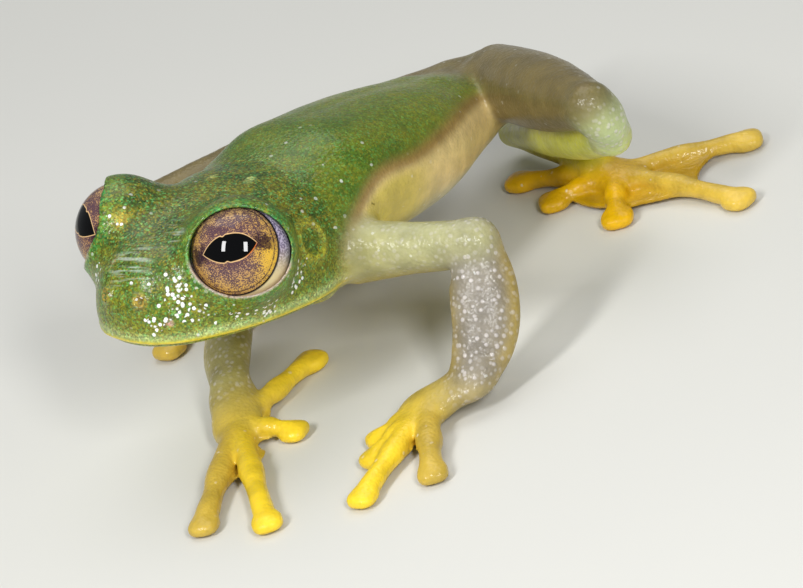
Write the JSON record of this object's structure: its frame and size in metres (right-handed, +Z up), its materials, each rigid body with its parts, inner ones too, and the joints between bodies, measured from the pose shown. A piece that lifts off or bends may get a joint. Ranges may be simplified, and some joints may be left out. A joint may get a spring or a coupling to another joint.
{
  "type": "glass frog model",
  "caption": "Life-size still model of a small glass frog standing alert on its hands and webbed feet.",
  "frame": {"origin": "on the floor under the middle of the bounding box", "axes": "+Z up, the frog faces -Y, its left side is +X"},
  "size_m": [0.0226, 0.0266, 0.0102],
  "materials": {
    "back_green": "moist satin skin",
    "flank_cream": "moist satin skin",
    "arm_grey": "moist satin skin",
    "digit_yellow": "moist satin skin",
    "leg_olive": "moist satin skin",
    "tarsus_green": "moist satin skin",
    "eye_gold": "wet gloss",
    "eardrum_yellow": "moist satin skin"
  },
  "bodies": {
    "root": {"head": "back_green", "lower_jaw": "flank_cream", "torso": "back_green", "eye_left": "eye_gold", "tympanum_left": "eardrum_yellow", "upper_arm_left": "flank_cream", "forearm_left": "arm_grey", "hand_left": "digit_yellow", "thigh_left": "leg_olive", "shank_left": "leg_olive", "tarsus_left": "tarsus_green", "foot_left": "digit_yellow", "eye_right": "eye_gold", "tympanum_right": "eardrum_yellow", "upper_arm_right": "flank_cream", "forearm_right": "arm_grey", "hand_right": "digit_yellow", "thigh_right": "leg_olive", "shank_right": "leg_olive", "tarsus_right": "tarsus_green", "foot_right": "digit_yellow"}
  },
  "joints": []
}
